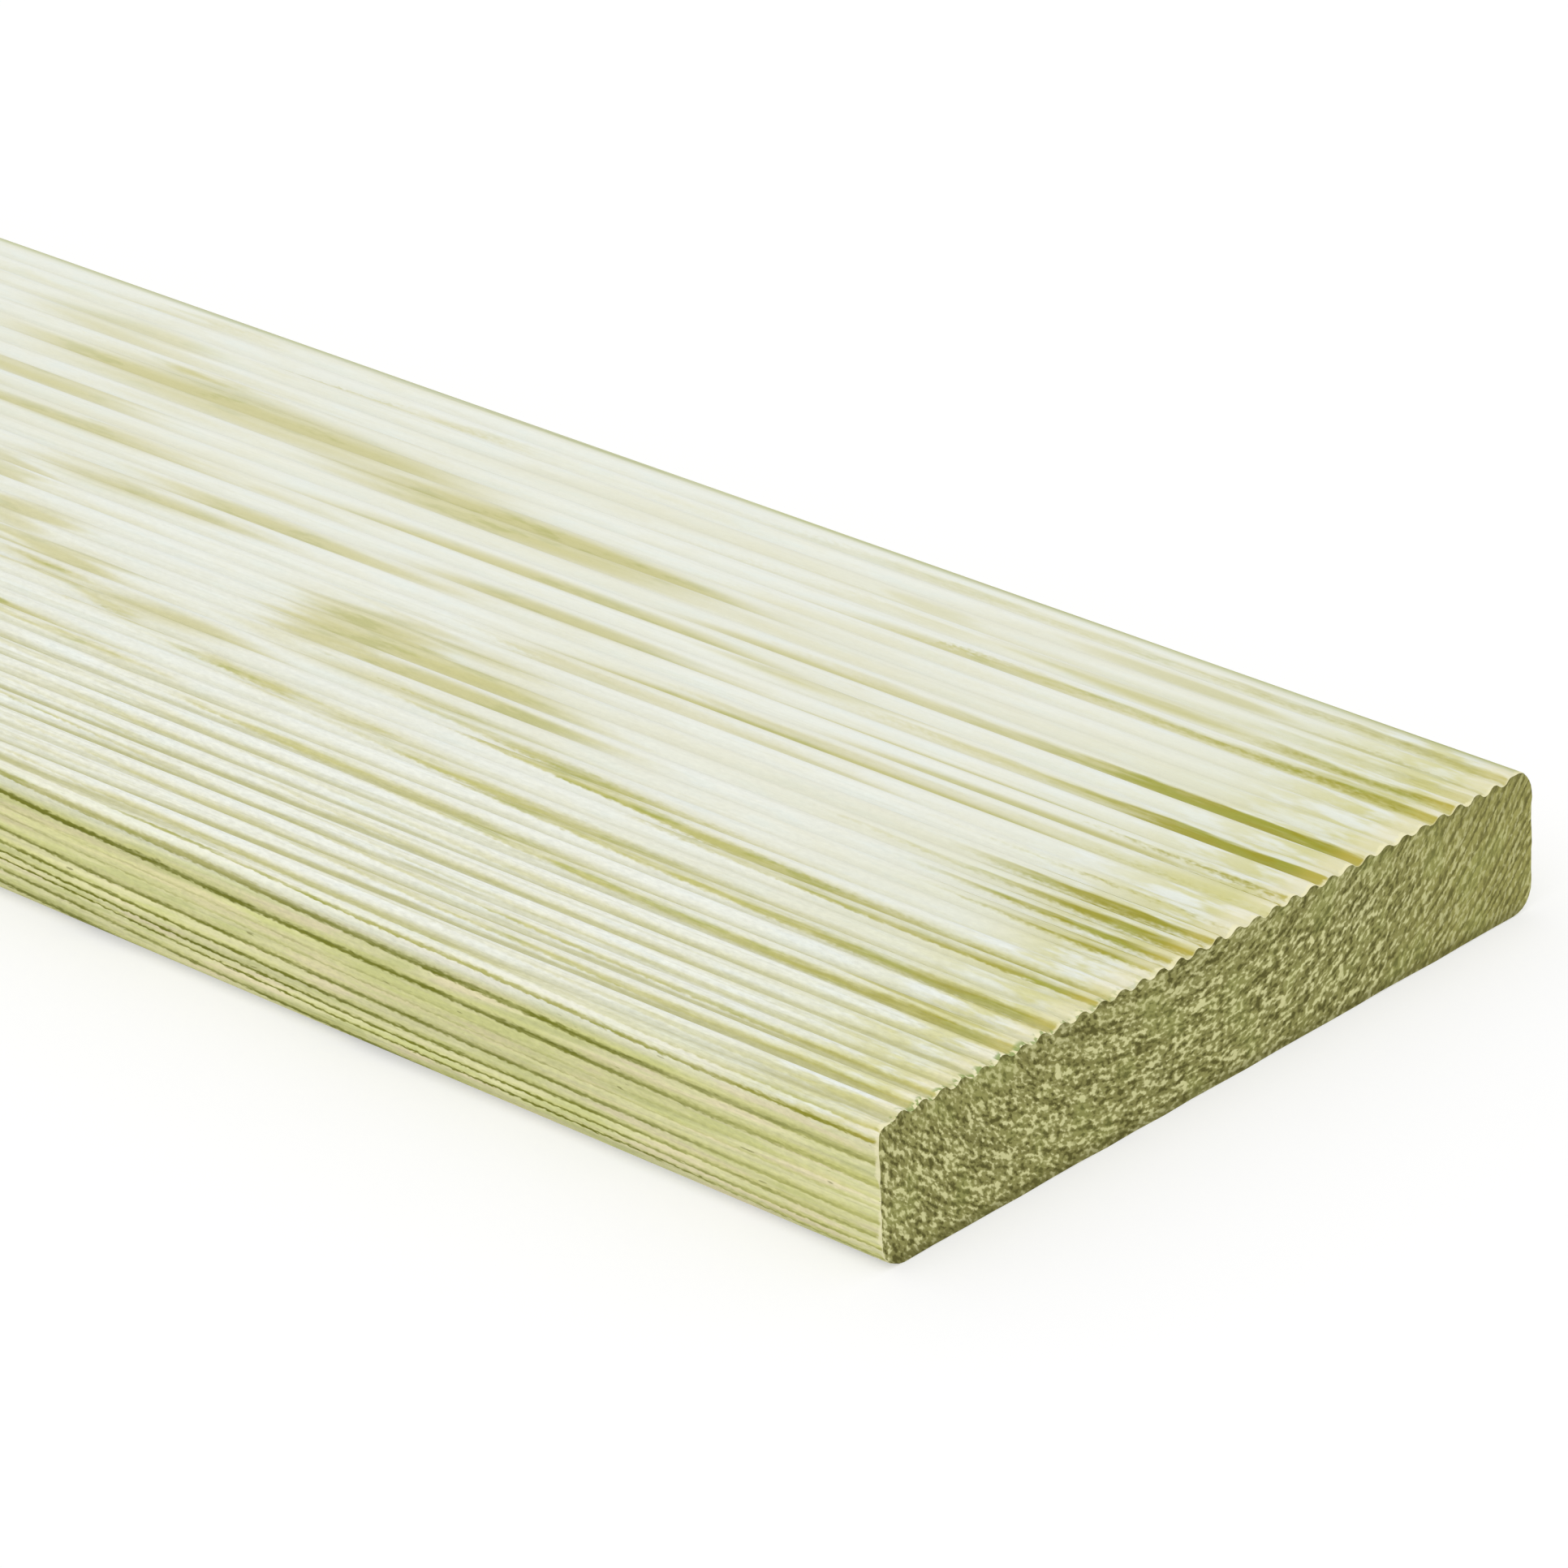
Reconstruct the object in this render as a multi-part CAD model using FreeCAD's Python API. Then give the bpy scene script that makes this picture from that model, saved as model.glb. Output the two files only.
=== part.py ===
import FreeCAD, Part
import os

# Ribbed softwood decking board, sawn and planed from one piece, lying flat with its ribs up.
# Millimetres: X runs along the board, Y across it and Z up, with the origin in the middle of the
# underside. The near long face is at -Y and the far one at +Y.

# Driving dimensions
board_length = 1800.0
board_width = 145.0
board_thickness = 24.0  # underside to rib crests
bottom_round = 4.5  # both arrises of the underside
far_round = 4.3  # top arris at +Y
near_round = 1.5  # top arris at -Y
shoulder_width = 3.0  # flat strip from the near face to the bottom of the first groove
rib_pitch = 4.225  # crest to crest
rib_depth = 0.9  # crest to groove bottom
groove_width = 1.75  # across the hollow arc of a groove

# Crest arcs and groove arcs meet tangent to one another. The centres of a crest and of the groove
# beside it are half a pitch apart across the board, and the sum of both radii apart in all.
half_pitch = rib_pitch / 2
both_radii = (half_pitch**2 + rib_depth**2) / (2 * rib_depth)
groove_radius = both_radii * groove_width / rib_pitch
crest_radius = both_radii - groove_radius

# Heights and places worked out from those
near_face = -board_width / 2
far_face = board_width / 2
groove_bottom = board_thickness - rib_depth
crest_centre = board_thickness - crest_radius
groove_centre = groove_bottom + groove_radius
meeting_height = crest_centre + (groove_centre - crest_centre) * crest_radius / both_radii
meeting_offset = half_pitch * crest_radius / both_radii  # from the middle of a crest
first_crest = near_face + shoulder_width + half_pitch
rib_count = int((far_face - far_round - first_crest) / rib_pitch) + 1
last_crest = first_crest + (rib_count - 1) * rib_pitch


def point(y, z):
    # The section is drawn on the end at -X.
    return FreeCAD.Vector(-board_length / 2, y, z)


def arc(centre, radius, start, end):
    # An arc of less than half a turn.
    outwards = ((start + end) * 0.5 - centre).normalize()
    return Part.Arc(start, centre + outwards * radius, end).toShape()


def crest_arc(crest, start, end):
    return arc(point(crest, crest_centre), crest_radius, start, end)


def groove_arc(groove, start, end):
    return arc(point(groove, groove_centre), groove_radius, start, end)


def near_meeting(crest):
    return point(crest - meeting_offset, meeting_height)


def far_meeting(crest):
    return point(crest + meeting_offset, meeting_height)


def ribbed_top():
    # From the top of the last crest, across every groove and rib, to the bottom of the first groove.
    edges = [crest_arc(last_crest, point(last_crest, board_thickness), near_meeting(last_crest))]
    for index in reversed(range(rib_count - 1)):
        crest = first_crest + index * rib_pitch
        edges.append(groove_arc(crest + half_pitch, near_meeting(crest + rib_pitch), far_meeting(crest)))
        edges.append(crest_arc(crest, far_meeting(crest), near_meeting(crest)))
    first_groove = first_crest - half_pitch
    edges.append(groove_arc(first_groove, near_meeting(first_crest), point(first_groove, groove_bottom)))
    return edges


def underside_and_far_side():
    # From the near end of the underside to the flat land beside the last crest.
    low_near = point(near_face + bottom_round, 0)
    low_far = point(far_face - bottom_round, 0)
    far_low = point(far_face, bottom_round)
    far_high = point(far_face, board_thickness - far_round)
    land = point(far_face - far_round, board_thickness)
    low_centre = point(far_face - bottom_round, bottom_round)
    high_centre = point(far_face - far_round, board_thickness - far_round)
    return [
        Part.makeLine(low_near, low_far),
        arc(low_centre, bottom_round, low_far, far_low),
        Part.makeLine(far_low, far_high),
        arc(high_centre, far_round, far_high, land),
        Part.makeLine(land, point(last_crest, board_thickness)),
    ]


def shoulder_and_near_side():
    # From the first groove over the flat shoulder and down the near face to the underside.
    shoulder_inner = point(near_face + shoulder_width, groove_bottom)
    shoulder_outer = point(near_face + near_round, groove_bottom)
    near_high = point(near_face, groove_bottom - near_round)
    near_low = point(near_face, bottom_round)
    low_near = point(near_face + bottom_round, 0)
    high_centre = point(near_face + near_round, groove_bottom - near_round)
    low_centre = point(near_face + bottom_round, bottom_round)
    return [
        Part.makeLine(shoulder_inner, shoulder_outer),
        arc(high_centre, near_round, shoulder_outer, near_high),
        Part.makeLine(near_high, near_low),
        arc(low_centre, bottom_round, near_low, low_near),
    ]


os.makedirs("parts", exist_ok=True)
outline = Part.Wire(underside_and_far_side() + ribbed_top() + shoulder_and_near_side())
decking_board = Part.Face(outline).extrude(FreeCAD.Vector(board_length, 0, 0))
decking_board.exportStep("parts/decking_board.step")
print("ribs", rib_count, "valid", decking_board.isValid(), "volume", round(decking_board.Volume))
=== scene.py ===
import math

import bpy
import numpy as np
from mathutils import Matrix, Vector, geometry


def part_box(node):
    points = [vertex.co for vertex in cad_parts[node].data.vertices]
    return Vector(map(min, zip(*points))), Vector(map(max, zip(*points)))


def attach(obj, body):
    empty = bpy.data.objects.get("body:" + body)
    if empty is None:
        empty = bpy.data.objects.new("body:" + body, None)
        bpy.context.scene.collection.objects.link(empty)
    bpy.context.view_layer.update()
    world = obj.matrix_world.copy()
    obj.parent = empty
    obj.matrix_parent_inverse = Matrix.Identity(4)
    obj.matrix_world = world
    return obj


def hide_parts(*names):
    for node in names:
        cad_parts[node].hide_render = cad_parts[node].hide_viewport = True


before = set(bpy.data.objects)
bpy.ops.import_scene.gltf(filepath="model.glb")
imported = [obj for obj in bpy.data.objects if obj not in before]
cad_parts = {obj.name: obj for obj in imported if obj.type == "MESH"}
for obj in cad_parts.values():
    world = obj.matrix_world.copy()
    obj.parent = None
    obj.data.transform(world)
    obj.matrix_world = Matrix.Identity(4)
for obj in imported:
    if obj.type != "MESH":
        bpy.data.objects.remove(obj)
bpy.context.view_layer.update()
lowCorner, highCorner = (np.array(corner) * 1000 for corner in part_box("decking_board"))  # mm
halfLength = highCorner[0]
halfWidth = highCorner[1]
thickness = highCorner[2]
hairBreadth = 1e-6  # mm, counts as the same place
print("frame loaded, board", highCorner - lowCorner, "mm")


# The board: one planed section with a ribbed top, carried along X. Sizes in mm, as the solid's.
board = {
    "bottomRound": 4.5,
    "farRound": 4.3,
    "nearRound": 1.5,
    "shoulderWidth": 3.0,
    "ribPitch": 4.225,
    "ribDepth": 0.9,
    "grooveWidth": 1.75,
    "crestSteps": 5,
    "grooveSteps": 4,
    "roundSteps": 6,
    "sideSteps": 14,
    "shoulderSteps": 3,
    "undersideSteps": 22,
    "stations": 238,  # cross-sections along the length
    "endCrowding": 5.0,  # how much closer the cross-sections stand near the ends
    "unevenness": 0.07,  # planing ripple of the long faces, inwards only
    "slowRipple": (55.0, 7.0),  # length along the board and round the section
    "quickRipple": (16.0, 2.2),
    "endWear": 0.32,  # how far the sawn arris is broken back
    "wearReach": 0.45,  # how far in from the end the wear dies away
    "chipLength": 1.3,  # of the chips along the arris
    "sawRipple": 0.16,  # depth of the sawn end's roughness
    "sawMarks": (9.0, 2.2),  # width and height of the marks
    "sawGrit": 1.7,  # size of the smaller ones
    "endSpacing": 0.95,  # between the points of an end face
    "endJitter": 0.3,  # how far they are moved at random, as a share of that spacing
    "endMargin": 0.6,  # how far they stay from the rim, as a share of it too
    "sharpAngle": 40.0,  # degrees
    "seeds": {"slow": 11, "quick": 12, "chips": 13, "endPoints": 21, "sawMarks": 31, "sawGrit": 32},
    # Left, bottom, width and height on the bake map
    "longFacesOnMap": (0.002, 0.10, 0.996, 0.898),
    "backEndOnMap": (0.005, 0.004, 0.49, 0.086),
    "frontEndOnMap": (0.505, 0.004, 0.49, 0.086),
    "undersideOnMap": 0.5,  # its width there, as a share of what the other faces get
}


def valueNoise(points, seed, cells=64):
    # Smooth random field from -1 to 1: lattice values blended with the s-curve 3f^2 - 2f^3 between
    # whole numbers of the last axis' two coordinates. The lattice repeats after the given cells.
    lattice = np.random.default_rng(seed).uniform(-1, 1, (cells, cells))
    whole = np.floor(points).astype(int)
    part = points - whole
    blend = part * part * (3 - 2 * part)
    lowA, lowB = whole[..., 0] % cells, whole[..., 1] % cells
    highA, highB = (lowA + 1) % cells, (lowB + 1) % cells
    lowRow = lattice[lowA, lowB] * (1 - blend[..., 1]) + lattice[lowA, highB] * blend[..., 1]
    highRow = lattice[highA, lowB] * (1 - blend[..., 1]) + lattice[highA, highB] * blend[..., 1]
    return lowRow * (1 - blend[..., 0]) + highRow * blend[..., 0]


def arcPoints(centreY, centreZ, radius, fromTurn, toTurn, steps):
    # Points of an arc, centre + radius * (cos, sin), angles in quarter turns, without its last point.
    turn = np.linspace(fromTurn, toTurn, steps, endpoint=False) * math.pi / 2
    return np.column_stack((centreY + radius * np.cos(turn), centreZ + radius * np.sin(turn)))


def runPoints(start, end, steps):
    # Evenly spaced points of a straight run, without its last point.
    share = np.linspace(0, 1, steps, endpoint=False)[:, None]
    return np.array(start) * (1 - share) + np.array(end) * share


def ribPoints():
    # The rib wave from the last crest to the first groove. Crest arcs of radius R and groove arcs of
    # radius r meet tangent: R + r = ((pitch/2)^2 + depth^2) / (2 depth), shared out by their widths.
    halfPitch = board["ribPitch"] / 2
    bothRadii = (halfPitch**2 + board["ribDepth"] ** 2) / (2 * board["ribDepth"])
    grooveRadius = bothRadii * board["grooveWidth"] / board["ribPitch"]
    crestRadius = bothRadii - grooveRadius
    slope = math.asin(halfPitch / bothRadii)
    firstCrest = -halfWidth + board["shoulderWidth"] + halfPitch
    ribCount = int((halfWidth - board["farRound"] - firstCrest) / board["ribPitch"]) + 1
    crests = firstCrest + np.arange(ribCount)[::-1] * board["ribPitch"]
    crestTurn = np.linspace(slope, -slope, board["crestSteps"], endpoint=False)
    grooveTurn = np.linspace(-slope, slope, board["grooveSteps"], endpoint=False)
    oneRib = np.concatenate((
        np.column_stack((crestRadius * np.sin(crestTurn), crestRadius * (np.cos(crestTurn) - 1))),
        np.column_stack((
            -halfPitch - grooveRadius * np.sin(grooveTurn),
            -board["ribDepth"] + grooveRadius * (1 - np.cos(grooveTurn)),
        )),
    ))
    places = np.column_stack((crests, np.full(ribCount, thickness)))
    wave = (places[:, None] + oneRib).reshape(-1, 2)
    # The last crest starts at its top and the first groove ends at its bottom.
    top = np.array([[crests[0], thickness]])
    firstGroove = crests[-1] - halfPitch
    keep = (wave[:, 0] < crests[0] - hairBreadth) & (wave[:, 0] > firstGroove + hairBreadth)
    return np.concatenate((top, wave[keep]))


def sectionPoints():
    # Round the section from the near end of the underside, rising on the far side (+Y).
    low, far, near = board["bottomRound"], board["farRound"], board["nearRound"]
    grooveBottom = thickness - board["ribDepth"]
    turns = board["roundSteps"]
    side = board["sideSteps"]
    ribs = ribPoints()
    shoulder = [-halfWidth + board["shoulderWidth"], grooveBottom]
    return np.concatenate((
        runPoints([-halfWidth + low, 0], [halfWidth - low, 0], board["undersideSteps"]),
        arcPoints(halfWidth - low, low, low, -1, 0, turns),
        runPoints([halfWidth, low], [halfWidth, thickness - far], side),
        arcPoints(halfWidth - far, thickness - far, far, 0, 1, turns),
        runPoints([halfWidth - far, thickness], ribs[0], 1),
        ribs,
        runPoints(shoulder, [-halfWidth + near, grooveBottom], board["shoulderSteps"]),
        arcPoints(-halfWidth + near, grooveBottom - near, near, 1, 2, turns),
        runPoints([-halfWidth, grooveBottom - near], [-halfWidth, low], side),
        arcPoints(-halfWidth + low, low, low, 2, 3, turns),
    ))


def boardGrid():
    # Sections at x = halfLength * sinh(k t) / sinh(k) from the ends, so that they crowd there, each
    # point moved inwards along its normal by planing ripple and, at the very end, by wear.
    section = sectionPoints()
    ahead = np.roll(section, -1, 0) - section
    ahead /= np.linalg.norm(ahead, axis=1)[:, None]
    tangent = ahead + np.roll(ahead, 1, 0)
    tangent /= np.linalg.norm(tangent, axis=1)[:, None]
    inwards = np.column_stack((-tangent[:, 1], tangent[:, 0]))
    around = np.concatenate(([0], np.cumsum(np.linalg.norm(np.diff(section, axis=0), axis=1))))

    spread = np.linspace(-1, 1, board["stations"])
    crowding = board["endCrowding"]
    fromEnd = halfLength * np.sinh(crowding * (1 - np.abs(spread))) / math.sinh(crowding)
    x = np.sign(spread) * (halfLength - fromEnd)

    shape = (len(x), len(section))
    spot = np.stack(np.broadcast_arrays(x[:, None], around[None]), -1)
    slow = valueNoise(spot / board["slowRipple"], board["seeds"]["slow"])
    quick = valueNoise(spot / board["quickRipple"], board["seeds"]["quick"])
    ripple = 0.5 + 0.35 * slow + 0.15 * quick  # from 0 to 1, so no point moves outwards
    # Each end has its own row of chips, from another row of the noise.
    chipRow = np.sign(x)[:, None] * 9.5
    chipSpot = np.stack(np.broadcast_arrays(chipRow, around[None] / board["chipLength"]), -1)
    chips = valueNoise(chipSpot, board["seeds"]["chips"])
    chipping = np.clip(0.45 + 0.55 * chips, 0, 1) * np.exp(-fromEnd[:, None] / board["wearReach"])
    depth = board["unevenness"] * ripple + board["endWear"] * chipping
    flat = section + depth[..., None] * inwards
    return np.concatenate((np.broadcast_to(x[:, None, None], (*shape, 1)), flat), -1), section


def endFace(rim):
    # A sawn end: the rim and a jittered grid of inner points, joined by Delaunay triangles. Returns
    # the inner points and triangles that index rim then inner.
    spacing = board["endSpacing"]
    rng = np.random.default_rng(board["seeds"]["endPoints"])
    gridY, gridZ = np.meshgrid(np.arange(-halfWidth, halfWidth, spacing), np.arange(0, thickness, spacing))
    inner = np.column_stack((gridY.ravel(), gridZ.ravel()))
    inner += rng.uniform(-board["endJitter"], board["endJitter"], inner.shape) * spacing
    margin = board["endMargin"] * spacing
    shoulder = thickness - board["ribDepth"]
    inside = (np.abs(inner[:, 0]) < halfWidth - margin) & (inner[:, 1] > margin)
    inside &= inner[:, 1] < shoulder - margin
    corners = (  # side, up or down, height of the face there, radius
        (1, -1, 0, board["bottomRound"]),
        (-1, -1, 0, board["bottomRound"]),
        (1, 1, thickness, board["farRound"]),
        (-1, 1, shoulder, board["nearRound"]),
    )
    for side, up, height, radius in corners:
        offset = (inner - [side * (halfWidth - radius), height - up * radius]) * [side, up]
        inside &= ~((offset > 0).all(1) & (np.linalg.norm(offset, axis=1) > radius - margin))
    inner = inner[inside]
    count = len(rim)
    edges = np.column_stack((np.arange(count), np.roll(np.arange(count), -1)))
    points = [Vector(point) for point in np.concatenate((rim, inner))]
    insideOnly = 1
    found = geometry.delaunay_2d_cdt(points, edges.tolist(), [], insideOnly, hairBreadth)
    return inner, np.array(found[2])


def bakeLayout(section, stations, quadRows, quadColumns, endPoints):
    # Where each face lies on the map: the long faces unrolled, u by distance round the section with
    # the underside narrowed and v by cross-section, and both ends side by side below them.
    closed = np.concatenate((section, section[:1]))
    span = np.linalg.norm(np.diff(closed, axis=0), axis=1)
    span[(closed[:-1, 1] == 0) & (closed[1:, 1] == 0)] *= board["undersideOnMap"]
    left, bottom, width, height = board["longFacesOnMap"]
    u = left + width * np.concatenate(([0], np.cumsum(span))) / span.sum()
    v = bottom + height * np.arange(stations) / (stations - 1)
    long = np.stack((u[quadColumns], v[quadRows]), -1).reshape(-1, 2)
    share = (endPoints[:, 1:] + [halfWidth, 0]) / [2 * halfWidth, thickness]
    front = endPoints[:, :1] > 0
    place = np.where(front, board["frontEndOnMap"], board["backEndOnMap"])
    return np.concatenate((long, place[:, :2] + place[:, 2:] * share))


def buildBoard():
    # The long faces as quads between neighbouring sections, and at each end the triangles of a sawn
    # face whose inner points are sunk by saw ripple.
    grid, section = boardGrid()
    stations, count = grid.shape[:2]
    rows, columns = np.meshgrid(np.arange(stations - 1), np.arange(count), indexing="ij")
    quadRows = np.stack((rows, rows + 1, rows + 1, rows), -1).reshape(-1, 4)
    quadColumns = np.stack((columns, columns, columns + 1, columns + 1), -1).reshape(-1, 4)
    quads = quadRows * count + quadColumns % count

    points = [grid.reshape(-1, 3)]
    triangles = []
    total = stations * count
    for row, sign in ((0, -1), (stations - 1, 1)):
        inner, faces = endFace(grid[row, :, 1:])
        marks = valueNoise(inner / board["sawMarks"], board["seeds"]["sawMarks"])
        grit = valueNoise(inner / board["sawGrit"], board["seeds"]["sawGrit"])
        sunk = 0.5 + 0.3 * marks + 0.2 * grit
        x = sign * (halfLength - board["sawRipple"] * sunk)
        index = np.concatenate((np.arange(count) + row * count, total + np.arange(len(inner))))
        triangles.append(index[faces if sign > 0 else faces[:, ::-1]])
        points.append(np.column_stack((x, inner)))
        total += len(inner)
    points = np.concatenate(points)
    ends = np.concatenate(triangles)

    mesh = bpy.data.meshes.new("ribbedBoard")
    mesh.from_pydata(points / 1000, [], quads.tolist() + ends.tolist())
    slots = np.repeat([0, 1], [len(quads), len(ends)]).astype(np.int32)
    mesh.polygons.foreach_set("material_index", slots)
    mesh.polygons.foreach_set("use_smooth", np.ones(len(slots), bool))
    layout = bakeLayout(section, stations, quadRows, quadColumns, points[ends.ravel()])
    mesh.uv_layers.new(name="OFBake").uv.foreach_set("vector", layout.ravel())
    mesh.set_sharp_from_angle(angle=math.radians(board["sharpAngle"]))
    mesh.update()
    piece = bpy.data.objects.new("ribbedBoard", mesh)
    bpy.context.scene.collection.objects.link(piece)
    print("board mesh", len(quads) * 2 + len(ends), "triangles")
    return piece


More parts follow.
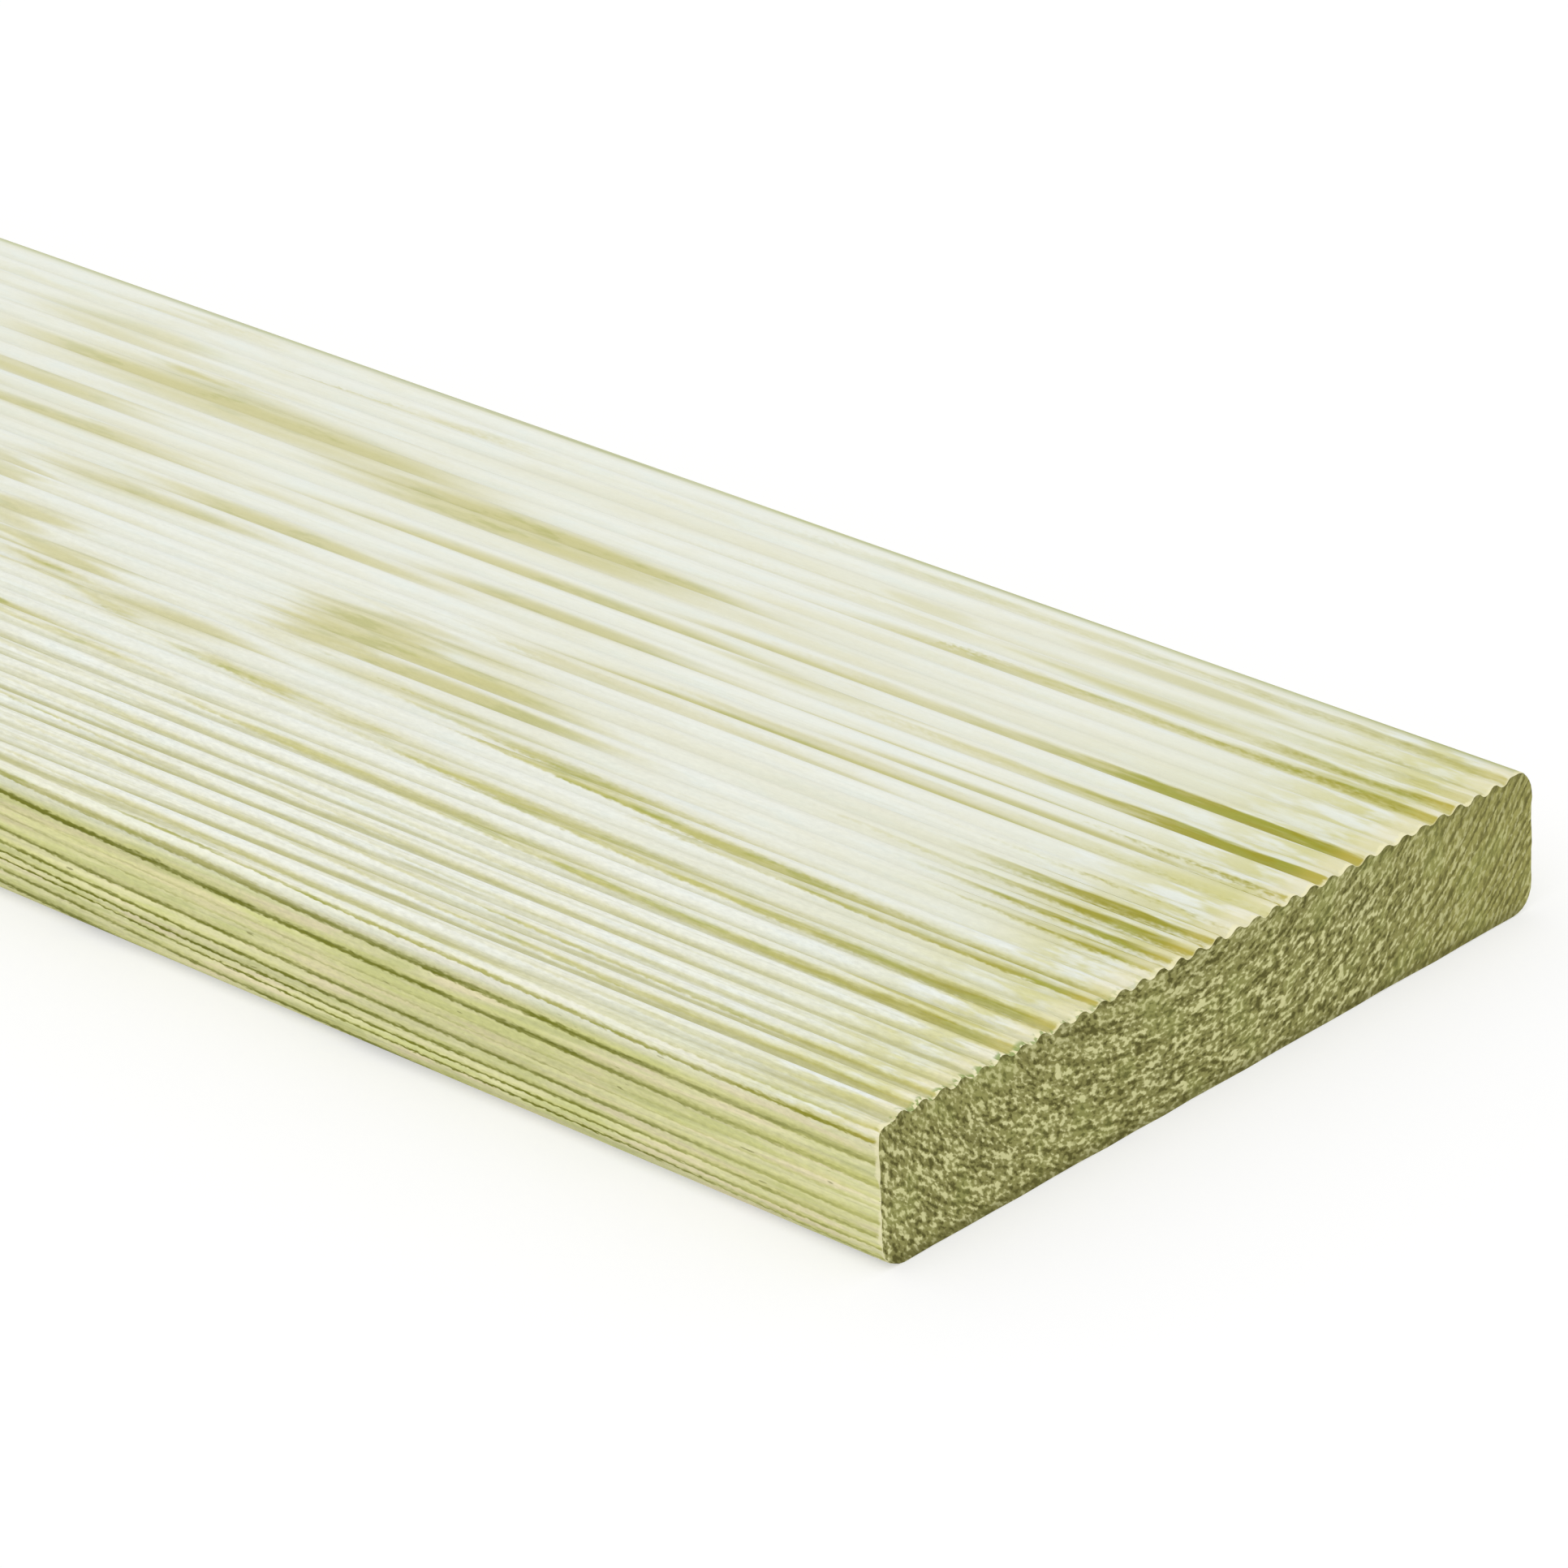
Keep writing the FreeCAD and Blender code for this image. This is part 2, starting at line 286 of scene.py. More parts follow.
# Treated pine: growth rings round a pith above the board. Sizes in mm, colours as sRGB steps.
pine = {
    "pithHeight": 58.0,  # above the ribs, at the near end
    "pithSweep": 7.7,  # half of how much higher it lies further in
    "sweepLength": 1200.0,
    "pithAside": -5.7,  # at the near end
    "pithDrift": 0.0107,  # towards the far side, for each mm further in
    # Where each year's latewood ends, from the pith, and how dark it is.
    "rings": [
        (54.8, 0.5), (59.3, 0.95), (62.5, 0.9), (66.6, 0.9), (71.0, 0.95), (74.0, 0.4), (76.7, 0.45),
        (78.6, 0.4), (80.9, 0.75), (84.2, 0.75), (86.8, 0.4), (89.5, 0.6), (91.0, 1.0), (93.4, 1.0),
        (95.7, 1.0), (97.1, 0.4), (98.2, 0.45), (100.2, 0.85), (101.9, 0.95), (103.1, 1.0), (104.0, 1.0),
    ],
    "outerRing": 1.6,  # spacing of the rings further out
    "outerDark": (0.4, 0.9),  # how dark those may be
    "outerSeed": 5,
    "farthest": 130.0,
    "wander": {"slow": 1.2, "quick": 0.9, "frayed": 0.5},  # how far a ring strays in each noise
    # Broad soft bands: how far in, how far across, half length, half width and depth.
    "bands": [
        (246, 45.0, 74, 6.4, 0.9), (178, 39.5, 66, 5.4, 1.0), (174, -4.5, 21, 12.0, 0.9),
        (150, -4.5, 40, 3.4, 1.0), (266, 4.0, 14, 7.0, 0.65), (250, -6.5, 15, 6.0, 0.75),
        (232, -13.5, 22, 4.0, 0.8), (204, -19.5, 32, 3.4, 0.8), (270, 23.0, 48, 2.8, 0.8),
        (285, 33.5, 40, 2.8, 0.8), (146, 19.0, 44, 2.6, 0.85), (290, 56.0, 30, 6.0, 0.55),
        (80, 10.3, 85, 1.6, 1.0), (150, -15.5, 40, 2.6, 0.7), (162, 27.5, 64, 2.2, 0.85),
        (215, 15.5, 40, 2.6, 0.8), (238, 10.0, 36, 3.0, 0.8), (62, 54.6, 40, 1.8, 0.8),
        (154, 1.0, 34, 2.2, 0.85), (144, -10.0, 44, 2.4, 0.9), (100, 58.5, 18, 2.0, 0.5),
        (60, 62.5, 32, 1.6, 0.6), (85, 49.0, 40, 1.6, 0.6), (72, 18.6, 64, 1.2, 0.8),
        (56, 15.0, 46, 1.1, 0.8), (84, 6.6, 30, 1.0, 0.6), (108, 31.5, 34, 1.8, 0.8),
        (96, 25.6, 34, 1.6, 0.8), (14, -41.5, 16, 1.4, 1.0), (10, -49.5, 9, 1.3, 0.9),
        (10, 50.0, 15, 1.7, 1.0),
    ],
    "bandEdge": (1.15, 0.3),  # where a band begins and where it is full, in those halves
    "bandRagged": 26.0,  # how far the ends of a band reach in and out from rib to rib
    # The top's pale colours are partly painted light and the sides' darker, yellower ones partly painted
    # shade; the rest is the wood's own colour.
    "topLight": (231, 233, 223),
    "topTan": (216, 212, 175),
    "topStreak": (190, 187, 118),
    "farStreak": (200, 196, 138),
    "endLight": (226, 228, 213),  # close to a sawn end
    "topCream": (230, 231, 218),
    "topCool": (229, 233, 225),
    "endSoak": (206, 203, 136),
    "greenStreak": (158, 162, 66),
    "endStreak": (156, 150, 42),
    "endCream": (232, 226, 196),  # in its last millimetres
    "endAmber": (192, 176, 84),
    "sideLight": (219, 217, 167),
    "sideTan": (195, 195, 119),
    "sideStreak": (112, 115, 28),
    "fleck": (112, 108, 46),
    "grooveShadeAndGrime": (184, 182, 132),  # grime and painted shade in the grooves
    # painted shade on the far rounded edge
    "farRimShade": (166, 174, 116),
    "sideWarm": (226, 217, 178),
    "sideGreen": (190, 197, 120),
    "fringe": (238, 232, 190),
    "copperGreen": (120, 146, 62),
    "sawn": (151, 149, 88),
    "sawnLate": (116, 112, 56),
    "sawnPit": (94, 91, 40),
    "sawnSpeck": (220, 218, 160),
    "sawnYellow": (168, 164, 92),
    "sawnGreen": (148, 156, 86),
    "planedRoughness": 0.78,
    "sawnRoughness": 0.9,
    "gloss": 0.25,
    "planedBump": (0.5, 0.00012),  # strength, and height in m
    "sawnBump": (0.6, 0.0004),
    "sidePatches": 0.8,  # how much of the latewood the sides show at least
    "sideLater": 0.2,  # how much later in a year it begins there
    "lateFull": 0.8,  # when in a year it is darkest
    "bandDark": 0.62,  # how much of the latewood's colour the bands have
    "nearSpecks": 0.2,  # more swing of the specks on the near ribs
    "sideSpecks": 0.04,
    "fringeReach": 1.5,
    # Torn fibre ends: a level, the parts of the noise that are added, and less in the latewood.
    "tornLevel": -0.16,
    "tornParts": {"bars": 0.85, "rows": 0.2, "clump": 0.27},
    "tornLate": -0.04,
    # Kinds of noise: sizes along, across and up the board, detail, roughness and shift.
    "lumps": {
        "slow": ((230, 46, 46), 1.0, 0.5, (0, 0, 0)),
        "quick": ((60, 9, 9), 2.0, 0.5, (7, 3, 1)),
        "frayed": ((1.3, 0.4, 0.4), 1.0, 0.5, (1, 9, 6)),
        "bandPull": ((90, 2.0, 2.0), 1.0, 0.5, (4, 1, 8)),
        "ribWobble": ((16, 1.0, 1.0), 2.0, 0.55, (2, 8, 4)),
        "patch": ((190, 6, 6), 1.5, 0.5, (1, 5, 9)),
        "broken": ((34, 2.4, 2.4), 2.0, 0.5, (6, 3, 8)),
        "uneven": ((9, 0.6, 0.6), 2.0, 0.6, (7, 7, 1)),
        "mottle": ((14, 2.2, 2.2), 3.0, 0.6, (5, 1, 6)),
        "blotch": ((20, 1.7, 1.7), 2.0, 0.5, (3, 6, 1)),
        "stain": ((160, 9, 9), 1.0, 0.5, (8, 2, 3)),
        "hair": ((150, 0.5, 0.5), 1.0, 0.5, (1, 3, 3)),
        "grooveShadeAndGrime": ((80, 2.4, 2.4), 2.0, 0.5, (3, 9, 2)),
        "fibre": ((26, 0.55, 0.55), 3.0, 0.6, (2, 8, 4)),
        "cloud": ((70, 3.2, 1.5), 2.0, 0.55, (6, 1, 2)),
        "speckle": ((1.5, 0.5, 0.5), 2.0, 0.6, (5, 2, 7)),
        "fleck": ((4, 0.6, 0.6), 1.0, 0.5, (9, 4, 4)),
        "ragged": ((0.9, 0.5, 0.5), 2.0, 0.6, (0, 0, 0)),
        "worn": ((6, 3.5, 3.5), 2.0, 0.5, (4, 4, 8)),
        "tuft": ((1.4, 0.7, 0.7), 1.0, 0.5, (2, 6, 5)),
        "endCloud": ((9, 9, 9), 2.0, 0.5, (0, 0, 0)),
        # These have their sizes across the rings, along them and along the board.
        "bars": ((0.68, 1.4, 4.0), 1.2, 0.5, (0, 0, 0)),
        "rows": ((0.8, 4.0, 40.0), 0.0, 0.5, (3, 5, 1)),
        "clump": ((2.2, 6.5, 4.0), 1.0, 0.5, (6, 2, 0)),
    },
    # Smooth steps: where each begins and ends, and its values there where they aren't 0 and 1.
    "steps": {
        # By the distance from the nearer end
        "nearEnd": (75.0, 12.0),
        "farIn": (100.0, 180.0),
        "lastBit": (8.0, 2.0),
        "crestBleachAndHighlightEnd": (150.0, 50.0, 0.4, 0.8),
        "fadeEnd": (25.0, 70.0),
        "rubbedEnd": (60.0, 8.0),
        "rubbedSide": (70.0, 0.0, 0.0, 0.55),
        "soakEnd": (38.0, 5.0),
        "fringe": (0.3, -0.3, 0.0, 0.75),
        "tuftEnd": (1.6, 0.3),
        # By the place across the board, from its middle
        "nearEdge": (-67.0, -73.0, 0.0, 0.3),
        "farEdge": (67.0, 72.0, 0.0, 0.8),
        "farRimShade": (67.8, 69.4, 0.0, 0.5),
        "nearRibs": (-15.0, -50.0),
        "crestBleachAndHighlightAcross": (-30.0, 5.0, 0.5, 1.0),
        "patchNear": (-8.0, -20.0, 0.0, 0.8),
        "patchFar": (56.0, 66.0, 1.0, 0.5),
        "lateBegin": (-30.0, 0.0, 0.32, 0.45),
        "fadeAcross": (-20.0, 5.0, 0.0, 0.58),
        "fadeFar": (42.0, 52.0, 1.0, 0.4),
        "rubbedAcross": (22.0, 8.0, 0.0, 0.16),
        "hairAcross": (-20.0, -58.0, 0.06, 0.26),
        "grooveShadeAndGrimeAcross": (-18.0, -58.0, 0.12, 0.95),
        "speckSwing": (-20.0, 30.0, 0.16, 0.06),
        "fibreSwing": (-20.0, 30.0, 0.1, 0.05),
        "tuftAcross": (0.0, -50.0, 0.0, 0.8),
        "smooth": (30.0, 62.0),
        # By the depth below the crests of the ribs, and lowRim by the height above the underside
        "onSide": (1.2, 5.2),
        "ribbed": (1.5, 1.0),
        "speckTop": (9.0, 2.0, 1.0, 0.7),
        "topRim": (1.5, 0.2, 0.0, 0.5),
        "lowRim": (2.4, 0.6, 0.0, 0.5),
        # By the place across a rib, 0 in a groove and 0.5 on a crest
        "crest": (0.24, 0.42),
        "groove": (0.26, 0.06),
        # By the time within a ring's year, 0 to 1, and mildDark by the ring's darkness
        "mild": (0.2, 0.75),
        "mildDark": (0.2, 0.8, 0.4, 0.9),
        "lateStop": (0.84, 1.0, 1.0, 0.0),
        "sawnLate": (0.4, 0.85),
        "sawnStop": (0.92, 1.0, 1.0, 0.0),
        # By noise about 0.5, and streak by how much latewood there is
        "patch": (0.36, 0.64, 0.14, 1.0),
        "broken": (0.6, 0.42, 0.0, 0.65),
        "streak": (0.1, 0.9),
        "cream": (0.5, 0.66),
        "cool": (0.48, 0.34),
        "soak": (0.42, 0.58, 0.0, 0.8),
        "green": (0.5, 0.38, 0.0, 0.6),
        "sideWarm": (0.52, 0.64, 0.0, 0.9),
        "sideGreen": (0.48, 0.36, 0.0, 0.45),
        "stain": (0.5, 0.7, 0.0, 0.3),
        "hair": (0.56, 0.7),
        "grooveShadeAndGrime": (0.34, 0.62, 0.5, 1.0),
        "fleck": (0.74, 0.8, 0.0, 0.6),
        "worn": (0.36, 0.62),
        "tuft": (0.48, 0.58),
        "pit": (0.47, 0.33),
        "speck": (0.5, 0.62),
        "endGreen": (0.5, 0.66, 0.0, 0.25),
    },
    # Straight runs: the values for a share of 0 and of 1.
    "runs": {
        "bandPull": (-1.0, 1.0),
        "bandCrest": (0.5, 1.0),
        "lastBit": (0.65, 0.15),
        "ribWobble": (-0.15, 0.15),
        "uneven": (0.4, 1.6),
        "sideHair": (1.0, 0.4),
        # painted light on the top towards the near edge
        "nearPaintedLight": (1.0, 1.03),
        "cloudSwing": (0.06, 0.71),
        "sawnLate": (0.4, 1.0),
        "sawnYellow": (0.0, 0.7),
        "striped": (0.5, 0.9),
        "tornHold": (1.0, 0.55),
        "endShade": (0.8, 1.2),
    },
}


def linear(colour):
    # sRGB steps to linear light: ((c + 0.055) / 1.055) ^ 2.4.
    light = ((np.array(colour) / 255 + 0.055) / 1.055) ** 2.4
    return (*light.tolist(), 1.0)


def plug(tree, value, socket):
    if isinstance(value, bpy.types.NodeSocket):
        tree.links.new(value, socket)
    else:
        socket.default_value = value


def calc(tree, operation, *values):
    node = tree.nodes.new("ShaderNodeMath")
    node.operation = operation
    for socket, value in zip(node.inputs, values):
        plug(tree, value, socket)
    return node.outputs[0]


def vectors(tree, operation, *values):
    node = tree.nodes.new("ShaderNodeVectorMath")
    node.operation = operation
    for socket, value in zip(node.inputs, values):
        plug(tree, value, socket)
    return node.outputs["Value" if operation == "LENGTH" else "Vector"]


def product(tree, first, *others):
    for other in others:
        first = calc(tree, "MULTIPLY", first, other)
    return first


def largest(tree, first, *others):
    for other in others:
        first = calc(tree, "MAXIMUM", first, other)
    return first


def without(tree, share):
    return calc(tree, "SUBTRACT", 1.0, share)


def ease(tree, value, low, high, toLow=0.0, toHigh=1.0):
    # Smooth step 3t^2 - 2t^3 as a value goes from low to high, scaled to run from toLow to toHigh.
    node = tree.nodes.new("ShaderNodeMapRange")
    node.interpolation_type = "SMOOTHSTEP"
    given = {"Value": value, "From Min": low, "From Max": high, "To Min": toLow, "To Max": toHigh}
    for name, item in given.items():
        plug(tree, item, node.inputs[name])
    return node.outputs["Result"]


def joined(tree, x, y, z):
    node = tree.nodes.new("ShaderNodeCombineXYZ")
    for socket, value in zip(node.inputs, (x, y, z)):
        plug(tree, value, socket)
    return node.outputs[0]


def noise(tree, vector, sizes, detail, roughness, shift):
    # Smooth noise about 0.5, in lumps of the given sizes.
    node = tree.nodes.new("ShaderNodeTexNoise")
    place = vectors(tree, "MULTIPLY_ADD", vector, [1 / size for size in sizes], shift)
    tree.links.new(place, node.inputs["Vector"])
    node.inputs["Scale"].default_value = 1.0
    node.inputs["Detail"].default_value = detail
    node.inputs["Roughness"].default_value = roughness
    return node.outputs["Fac"]


def curve(tree, value, places, heights):
    # Straight runs through the given points, places and heights both from 0 to 1.
    node = tree.nodes.new("ShaderNodeFloatCurve")
    points = node.mapping.curves[0].points
    while len(points) < len(places):
        points.new(0.5, 0.5)
    for point, place, height in zip(points, places, heights):
        point.location = (place, height)
        point.handle_type = "VECTOR"
    node.mapping.update()
    plug(tree, value, node.inputs["Value"])
    return node.outputs[0]


def blended(tree, share, first, second):
    node = tree.nodes.new("ShaderNodeMix")
    node.data_type = "RGBA"
    colours = [socket for socket in node.inputs if socket.type == "RGBA"]
    plug(tree, share, node.inputs[0])
    plug(tree, first, colours[0])
    plug(tree, second, colours[1])
    return next(socket for socket in node.outputs if socket.type == "RGBA")


def tinted(tree, colour, amount):
    # The colour times a brightness.
    node = tree.nodes.new("ShaderNodeVectorMath")
    node.operation = "SCALE"
    plug(tree, colour, node.inputs[0])
    plug(tree, amount, node.inputs["Scale"])
    return node.outputs[0]


def raised(tree, shader, height, strength, distance):
    bump = tree.nodes.new("ShaderNodeBump")
    bump.inputs["Strength"].default_value = strength
    bump.inputs["Distance"].default_value = distance
    tree.links.new(height, bump.inputs["Height"])
    tree.links.new(bump.outputs["Normal"], shader.inputs["Normal"])


def newFinish(name, roughness, gloss):
    material = bpy.data.materials.new(name)
    material.use_nodes = True
    shader = material.node_tree.nodes["Principled BSDF"]
    shader.inputs["Roughness"].default_value = roughness
    shader.inputs["Specular IOR Level"].default_value = gloss
    return material, material.node_tree, shader


def woodPlace(tree):
    # Object coordinates in mm, and their three parts.
    coordinates = tree.nodes.new("ShaderNodeTexCoord").outputs["Object"]
    place = tinted(tree, coordinates, 1000.0)
    parts = tree.nodes.new("ShaderNodeSeparateXYZ")
    tree.links.new(place, parts.inputs[0])
    return place, *parts.outputs


def lump(tree, place, name):
    # Noise of one of the pine's kinds.
    return noise(tree, place, *pine["lumps"][name])


def step(tree, value, name):
    # One of the pine's smooth steps.
    return ease(tree, value, *pine["steps"][name])


def between(tree, share, name):
    # One of the pine's straight runs: first + share * (last - first).
    first, last = pine["runs"][name]
    return calc(tree, "MULTIPLY_ADD", share, last - first, first)


def painted(tree, share, colour, name):
    # A colour under a share of one of the pine's colours.
    return blended(tree, share, colour, linear(pine[name]))


def growthRings(tree, place, x, y, z):
    # Distance from a pith that rises as 1 - cos and drifts sideways along the board, with slow, quick
    # and frayed wander, read against the list of rings. Gives the phase within a ring, its darkness,
    # and the place across and along the rings.
    inward = calc(tree, "SUBTRACT", halfLength, x)
    turn = calc(tree, "MULTIPLY", inward, 2 * math.pi / pine["sweepLength"])
    sweep = calc(tree, "MULTIPLY_ADD", calc(tree, "COSINE", turn), -pine["pithSweep"], pine["pithSweep"])
    above = calc(tree, "SUBTRACT", calc(tree, "ADD", sweep, thickness + pine["pithHeight"]), z)
    pithAside = calc(tree, "MULTIPLY_ADD", inward, pine["pithDrift"], pine["pithAside"])
    aside = calc(tree, "SUBTRACT", y, pithAside)
    squares = calc(tree, "ADD", calc(tree, "POWER", above, 2.0), calc(tree, "POWER", aside, 2.0))
    wander = 0.0
    for name, swing in pine["wander"].items():
        astray = calc(tree, "MULTIPLY_ADD", lump(tree, place, name), swing, -swing / 2)
        wander = calc(tree, "ADD", wander, astray)
    radius = calc(tree, "ADD", calc(tree, "SQRT", squares), wander)

    edges, darkness = (np.array(column) for column in zip(*pine["rings"]))
    outer = np.arange(edges[-1] + pine["outerRing"], pine["farthest"], pine["outerRing"])
    outerDark = np.random.default_rng(pine["outerSeed"]).uniform(*pine["outerDark"], len(outer))
    edges = np.concatenate((edges, outer))
    darkness = np.concatenate((darkness, outerDark))
    last = len(edges) - 1
    reach = edges[-1] - edges[0]
    share = calc(tree, "DIVIDE", calc(tree, "SUBTRACT", radius, edges[0]), reach)
    numbers = np.arange(last + 1) / last
    number = calc(tree, "MULTIPLY", curve(tree, share, (edges - edges[0]) / reach, numbers), last)
    ending = calc(tree, "DIVIDE", calc(tree, "CEIL", number), last)
    strength = curve(tree, ending, numbers, darkness)
    along = calc(tree, "MULTIPLY", calc(tree, "ARCTAN2", aside, above), radius)
    return calc(tree, "FRACT", number), strength, joined(tree, radius, along, x)


def broadBands(tree, place, x, y):
    # The largest of depth * smooth step over the bands, falling with the distance from a band's middle
    # in half lengths and half widths. Noise across the ribs pulls the ends in and out.
    pull = between(tree, lump(tree, place, "bandPull"), "bandPull")
    inward = calc(tree, "MULTIPLY_ADD", pull, pine["bandRagged"], calc(tree, "SUBTRACT", halfLength, x))
    onTop = joined(tree, inward, y, 0.0)
    deepest = 0.0
    for far, across, halfLong, halfWide, depth in pine["bands"]:
        offset = vectors(tree, "MULTIPLY_ADD", onTop, (1 / halfLong, 1 / halfWide, 0),
                         (-far / halfLong, -across / halfWide, 0))
        distance = vectors(tree, "LENGTH", offset)
        deepest = largest(tree, deepest, ease(tree, distance, *pine["bandEdge"], 0.0, depth))
    return deepest


def longGrain():
    # Planed faces: pale earlywood, latewood that darkens outwards through each ring and stops
    # sharply, broad bands, grime and painted shade in the grooves, crests paled partly by a painted
    # highlight, fibres along the board, yellower sides and rounded edges darkened by painted shade,
    # painted light towards the near edge, and richer streaks and a frayed arris at the sawn ends.
    material, tree, shader = newFinish("planedPine", pine["planedRoughness"], pine["gloss"])
    place, x, y, z = woodPlace(tree)
    phase, strength, _ = growthRings(tree, place, x, y, z)
    fromEnd = calc(tree, "SUBTRACT", halfLength, calc(tree, "ABSOLUTE", x))
    below = calc(tree, "SUBTRACT", thickness, z)
    nearEnd = step(tree, fromEnd, "nearEnd")
    farIn = step(tree, fromEnd, "farIn")
    onSide = step(tree, below, "onSide")
    lastBit = product(tree, step(tree, fromEnd, "lastBit"), between(tree, onSide, "lastBit"))
    # Sides and rounded edges: the wood's yellower colour there, darkened further by painted shade against
    # the top, which is painted as lit
    yellowAndShade = largest(tree, onSide, step(tree, y, "nearEdge"), step(tree, y, "farEdge"))

    # Place across a rib, 0 in a groove and 0.5 on a crest, and how much the crests are paler, partly
    # bleached and partly a painted highlight
    ribStart = (halfWidth - board["shoulderWidth"]) / board["ribPitch"]
    ribs = calc(tree, "MULTIPLY_ADD", y, 1 / board["ribPitch"], ribStart)
    fromGroove = calc(tree, "PINGPONG", ribs, 0.5)
    wobble = between(tree, lump(tree, place, "ribWobble"), "ribWobble")
    fromGroove = calc(tree, "ADD", fromGroove, wobble)
    ribbed = step(tree, below, "ribbed")
    # Crests paled by leaving out latewood: partly bleaching, partly a painted highlight
    crestBleachAndHighlight = product(tree, step(tree, fromEnd, "crestBleachAndHighlightEnd"), step(tree, y, "crestBleachAndHighlightAcross"))
    withoutCrestBleachAndHighlight = without(tree, product(tree, step(tree, fromGroove, "crest"), ribbed, crestBleachAndHighlight))

    # Latewood in patches, a mild part that comes early in each year and a late part that is dark
    patches = step(tree, lump(tree, place, "patch"), "patch")
    onSidePatches = product(tree, onSide, pine["sidePatches"])
    patches = largest(tree, patches, nearEnd, onSidePatches, step(tree, y, "patchNear"))
    patches = product(tree, patches, step(tree, phase, "lateStop"), withoutCrestBleachAndHighlight, step(tree, y, "patchFar"))
    gaps = product(tree, farIn, ribbed, step(tree, lump(tree, place, "broken"), "broken"))
    patches = product(tree, patches, without(tree, gaps))
    mild = product(tree, step(tree, phase, "mild"), patches, step(tree, strength, "mildDark"))
    begin = calc(tree, "MULTIPLY_ADD", onSide, pine["sideLater"], step(tree, y, "lateBegin"))
    late = product(tree, ease(tree, phase, begin, pine["lateFull"]), patches, strength)
    late = product(tree, late, between(tree, lump(tree, place, "uneven"), "uneven"))
    fade = product(tree, step(tree, fromEnd, "fadeEnd"), step(tree, y, "fadeAcross"))
    fade = product(tree, fade, step(tree, y, "fadeFar"))
    rubbedTop = product(tree, step(tree, fromEnd, "rubbedEnd"), step(tree, y, "rubbedAcross"))
    rubbedSide = product(tree, step(tree, fromEnd, "rubbedSide"), onSide)
    rubbed = largest(tree, rubbedTop, rubbedSide)
    late = product(tree, late, without(tree, fade), without(tree, rubbed))
    bands = product(tree, broadBands(tree, place, x, y), ribbed, between(tree, withoutCrestBleachAndHighlight, "bandCrest"))
    late = largest(tree, late, product(tree, bands, pine["bandDark"]))

    # Colours of the early, mild and late wood, with the sides and rounded edges darkened by painted shade
    mottle = lump(tree, place, "mottle")
    light = painted(tree, nearEnd, linear(pine["topLight"]), "endLight")
    light = painted(tree, step(tree, mottle, "cream"), light, "topCream")
    light = painted(tree, step(tree, mottle, "cool"), light, "topCool")
    soak = product(tree, step(tree, fromEnd, "soakEnd"), step(tree, mottle, "soak"))
    light = painted(tree, soak, light, "endSoak")
    blotch = lump(tree, place, "blotch")
    side = painted(tree, step(tree, blotch, "sideWarm"), linear(pine["sideLight"]), "sideWarm")
    side = painted(tree, step(tree, blotch, "sideGreen"), side, "sideGreen")
    light = blended(tree, yellowAndShade, light, side)
    light = painted(tree, lastBit, light, "endCream")
    soft = painted(tree, nearEnd, linear(pine["topTan"]), "endSoak")
    soft = painted(tree, yellowAndShade, soft, "sideTan")
    dark = painted(tree, farIn, linear(pine["topStreak"]), "farStreak")
    dark = painted(tree, nearEnd, dark, "endStreak")
    dark = painted(tree, step(tree, mottle, "green"), dark, "greenStreak")
    dark = painted(tree, yellowAndShade, dark, "sideStreak")
    dark = painted(tree, lastBit, dark, "endAmber")
    stain = step(tree, lump(tree, place, "stain"), "stain")
    colour = blended(tree, largest(tree, mild, stain, bands), light, soft)
    colour = blended(tree, step(tree, late, "streak"), colour, dark)

    # Hair lines along the fibres, and grime with painted shade in the grooves, both heavier towards the
    # near edge
    hair = product(tree, step(tree, lump(tree, place, "hair"), "hair"), step(tree, y, "hairAcross"))
    hair = product(tree, hair, between(tree, onSide, "sideHair"))
    hairColour = painted(tree, onSide, linear(pine["grooveShadeAndGrime"]), "sideStreak")
    colour = blended(tree, hair, colour, hairColour)
    # Painted shade and grime: darker olive lines in the grooves
    groove = product(tree, step(tree, fromGroove, "groove"), ribbed)
    grooveShadeAndGrimePatch = step(tree, lump(tree, place, "grooveShadeAndGrime"), "grooveShadeAndGrime")
    grooveShadeAndGrime = product(tree, groove, grooveShadeAndGrimePatch, step(tree, y, "grooveShadeAndGrimeAcross"))
    colour = painted(tree, grooveShadeAndGrime, colour, "grooveShadeAndGrime")
    # Painted shade along the far rounded edge of the top, where it turns away
    rim = product(tree, step(tree, y, "farRimShade"), without(tree, onSide))
    colour = painted(tree, rim, colour, "farRimShade")

    # Light and shade of specks, fibres and wider clouds, and painted light that brightens the top towards
    # the near edge
    nearRibs = step(tree, y, "nearRibs")
    fibre = lump(tree, place, "fibre")
    speckSwing = calc(tree, "MULTIPLY_ADD", onSide, pine["sideSpecks"], step(tree, y, "speckSwing"))
    speckSwing = calc(tree, "MULTIPLY_ADD", nearRibs, pine["nearSpecks"], speckSwing)
    swings = (
        (lump(tree, place, "speckle"), speckSwing),
        (fibre, step(tree, y, "fibreSwing")),
        (lump(tree, place, "cloud"), between(tree, yellowAndShade, "cloudSwing")),
    )
    # Painted light: the top up to 3% brighter towards the near edge
    toneAndPaintedLight = between(tree, nearRibs, "nearPaintedLight")
    for pattern, swing in swings:
        toneAndPaintedLight = calc(tree, "MULTIPLY_ADD", calc(tree, "SUBTRACT", pattern, 0.5), swing, toneAndPaintedLight)
    colour = tinted(tree, colour, toneAndPaintedLight)
    fleck = product(tree, step(tree, lump(tree, place, "fleck"), "fleck"), yellowAndShade)
    colour = painted(tree, fleck, colour, "fleck")

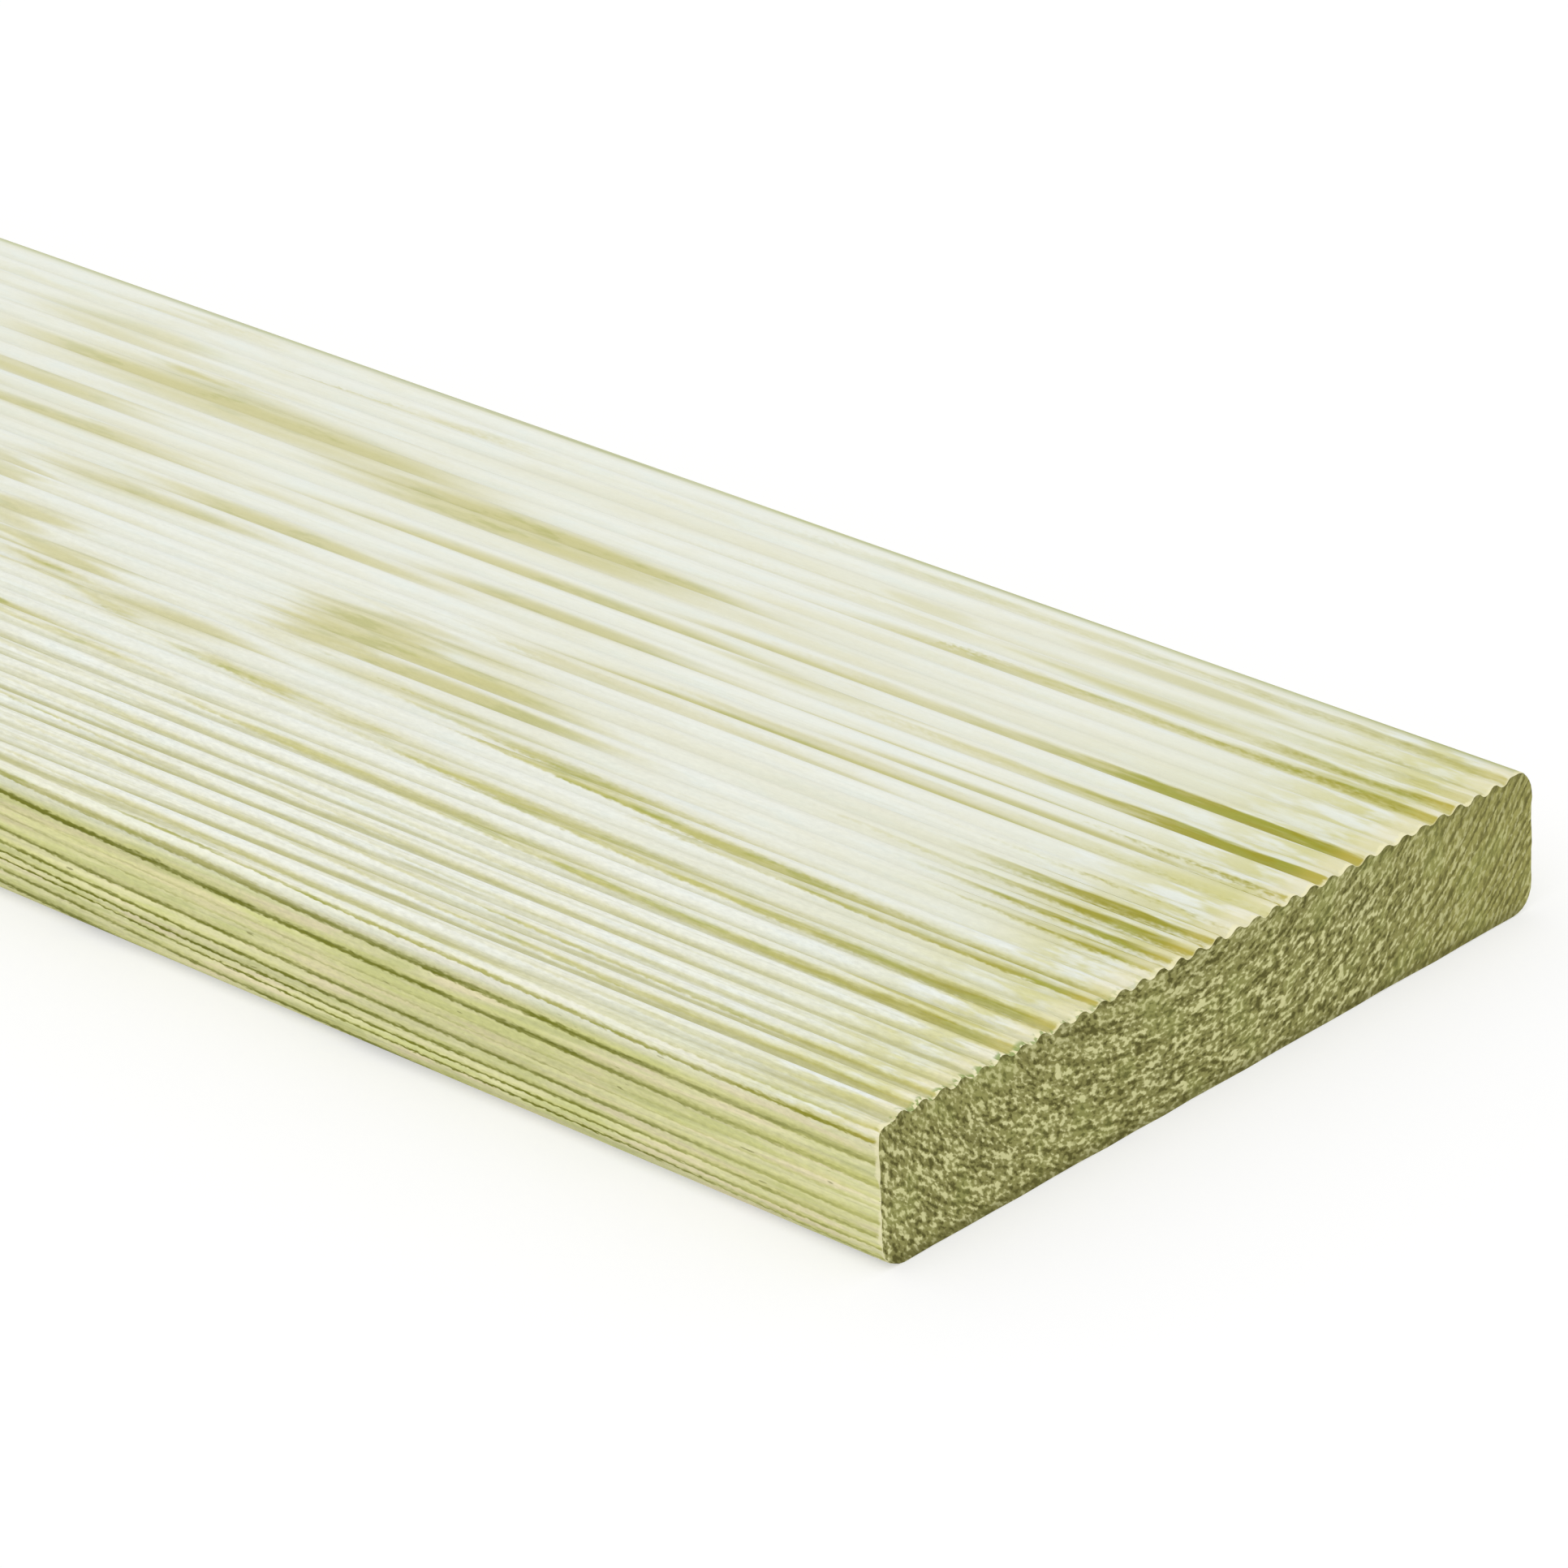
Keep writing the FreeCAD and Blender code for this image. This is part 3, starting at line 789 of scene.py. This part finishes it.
    # The broken arris of a sawn end, with tufts of greener fibre on the near half of the top
    worn = step(tree, lump(tree, place, "worn"), "worn")
    reach = product(tree, lump(tree, place, "ragged"), worn, pine["fringeReach"])
    fringe = step(tree, calc(tree, "SUBTRACT", fromEnd, reach), "fringe")
    colour = painted(tree, fringe, colour, "fringe")
    tufts = product(tree, step(tree, lump(tree, place, "tuft"), "tuft"), step(tree, fromEnd, "tuftEnd"))
    tufts = product(tree, tufts, ribbed, step(tree, y, "tuftAcross"))
    colour = painted(tree, tufts, colour, "copperGreen")
    tree.links.new(colour, shader.inputs["Base Color"])
    raised(tree, shader, fibre, *pine["planedBump"])
    return material


def endGrain():
    # Sawn ends: the same rings seen across, under bars, rows and clumps of torn fibre ends stretched
    # along each ring, pale where their sum is high and dark where it is low. The far part is smoother
    # and shows more of its rings.
    material, tree, shader = newFinish("sawnPine", pine["sawnRoughness"], pine["gloss"])
    place, x, y, z = woodPlace(tree)
    phase, strength, ringPlace = growthRings(tree, place, x, y, z)
    below = calc(tree, "SUBTRACT", thickness, z)
    smooth = step(tree, y, "smooth")
    late = product(tree, step(tree, phase, "sawnLate"), step(tree, phase, "sawnStop"))
    late = product(tree, late, between(tree, strength, "sawnLate"))
    torn = pine["tornLevel"]
    for name, weight in pine["tornParts"].items():
        torn = calc(tree, "MULTIPLY_ADD", lump(tree, ringPlace, name), weight, torn)
    torn = calc(tree, "MULTIPLY_ADD", late, pine["tornLate"], torn)
    hold = between(tree, smooth, "tornHold")
    colour = painted(tree, between(tree, smooth, "sawnYellow"), linear(pine["sawn"]), "sawnYellow")
    striped = product(tree, late, between(tree, smooth, "striped"))
    colour = painted(tree, striped, colour, "sawnLate")
    pit = product(tree, step(tree, torn, "pit"), hold)
    colour = painted(tree, pit, colour, "sawnPit")
    speck = product(tree, step(tree, torn, "speck"), hold, step(tree, below, "speckTop"))
    colour = painted(tree, speck, colour, "sawnSpeck")
    cloud = lump(tree, place, "endCloud")
    colour = painted(tree, step(tree, cloud, "endGreen"), colour, "sawnGreen")
    colour = tinted(tree, colour, between(tree, cloud, "endShade"))
    rim = largest(tree, step(tree, below, "topRim"), step(tree, z, "lowRim"))
    colour = painted(tree, rim, colour, "sawnPit")
    tree.links.new(colour, shader.inputs["Base Color"])
    raised(tree, shader, torn, *pine["sawnBump"])
    return material


# Floor, light and camera
stage = {
    "floorSize": 30.0,  # m
    "floorBounce": (0.82, 0.82, 0.82, 1.0),
    "floorWhite": (0.5, 0.5, 0.5, 1.0),  # as the camera sees it
    "floorGlow": 0.5,
    "skyStrength": 0.82,
    "sunStrength": 0.75,
    "sunSpread": 60.0,  # degrees
    "sunFrom": (0.2, -0.45, 0.87),
    "cameraPlace": (0.6971, -0.8105, 0.5741),  # m from the middle of the near end's lower edge
    "cameraAim": (-0.6237, 0.6461, -0.4400),
    "cameraRoll": -2.26,  # degrees
    "cameraReach": (0.01, 100.0),  # m, nearest and farthest that it sees
    "focalLength": 191.9,  # mm
    "sensorWidth": 36.0,
}


def seenByEye(tree):
    # 1 for rays from the camera, and for mirror and glass rays.
    path = tree.nodes.new("ShaderNodeLightPath")
    shiny = calc(tree, "MAXIMUM", path.outputs["Is Glossy Ray"], path.outputs["Is Transmission Ray"])
    return calc(tree, "MAXIMUM", path.outputs["Is Camera Ray"], shiny)


def layFloor():
    half = stage["floorSize"] / 2
    corners = [(-half, -half, 0), (half, -half, 0), (half, half, 0), (-half, half, 0)]
    mesh = bpy.data.meshes.new("floor")
    mesh.from_pydata(corners, [], [(0, 1, 2, 3)])
    floor = bpy.data.objects.new("floor", mesh)
    bpy.context.scene.collection.objects.link(floor)
    material, tree, shader = newFinish("paleFloor", roughness=1.0, gloss=0.0)
    colour = blended(tree, seenByEye(tree), stage["floorBounce"], stage["floorWhite"])
    tree.links.new(colour, shader.inputs["Base Color"])
    # Half of what the camera sees is its own white, so the shadow stays but is faint.
    shader.inputs["Emission Color"].default_value = (1, 1, 1, 1)
    tree.links.new(product(tree, seenByEye(tree), stage["floorGlow"]), shader.inputs["Emission Strength"])
    mesh.materials.append(material)


def hangLights():
    world = bpy.data.worlds.new("softSky")
    bpy.context.scene.world = world
    world.use_nodes = True
    tree = world.node_tree
    sky = tree.nodes["Background"]
    sky.inputs["Color"].default_value = (1, 1, 1, 1)
    strength = calc(tree, "MULTIPLY_ADD", seenByEye(tree), 1 - stage["skyStrength"], stage["skyStrength"])
    tree.links.new(strength, sky.inputs["Strength"])
    lamp = bpy.data.lights.new("softSun", "SUN")
    lamp.energy = stage["sunStrength"]
    lamp.angle = math.radians(stage["sunSpread"])
    sun = bpy.data.objects.new("softSun", lamp)
    sun.rotation_euler = Vector(stage["sunFrom"]).to_track_quat("Z", "Y").to_euler()
    bpy.context.scene.collection.objects.link(sun)


def setCamera():
    aim = Vector(stage["cameraAim"]).normalized()
    level = aim.cross(Vector((0, 0, 1))).normalized()
    roll = math.radians(stage["cameraRoll"])
    right = level * math.cos(roll) + level.cross(aim) * math.sin(roll)
    up = right.cross(aim)
    lens = bpy.data.cameras.new("photoCamera")
    lens.sensor_width = stage["sensorWidth"]
    lens.lens = stage["focalLength"]
    lens.clip_start, lens.clip_end = stage["cameraReach"]
    camera = bpy.data.objects.new("photoCamera", lens)
    turn = Matrix((right, up, -aim)).transposed().to_4x4()
    place = Vector((halfLength / 1000, 0, 0)) + Vector(stage["cameraPlace"])
    camera.matrix_world = Matrix.Translation(place) @ turn
    bpy.context.scene.collection.objects.link(camera)
    bpy.context.scene.camera = camera


piece = buildBoard()
piece.data.materials.append(longGrain())
piece.data.materials.append(endGrain())
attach(piece, "root")
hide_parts("decking_board")
print("board finished")

layFloor()
hangLights()
setCamera()
bpy.context.scene.view_settings.view_transform = "Standard"
print("floor, light and camera placed")
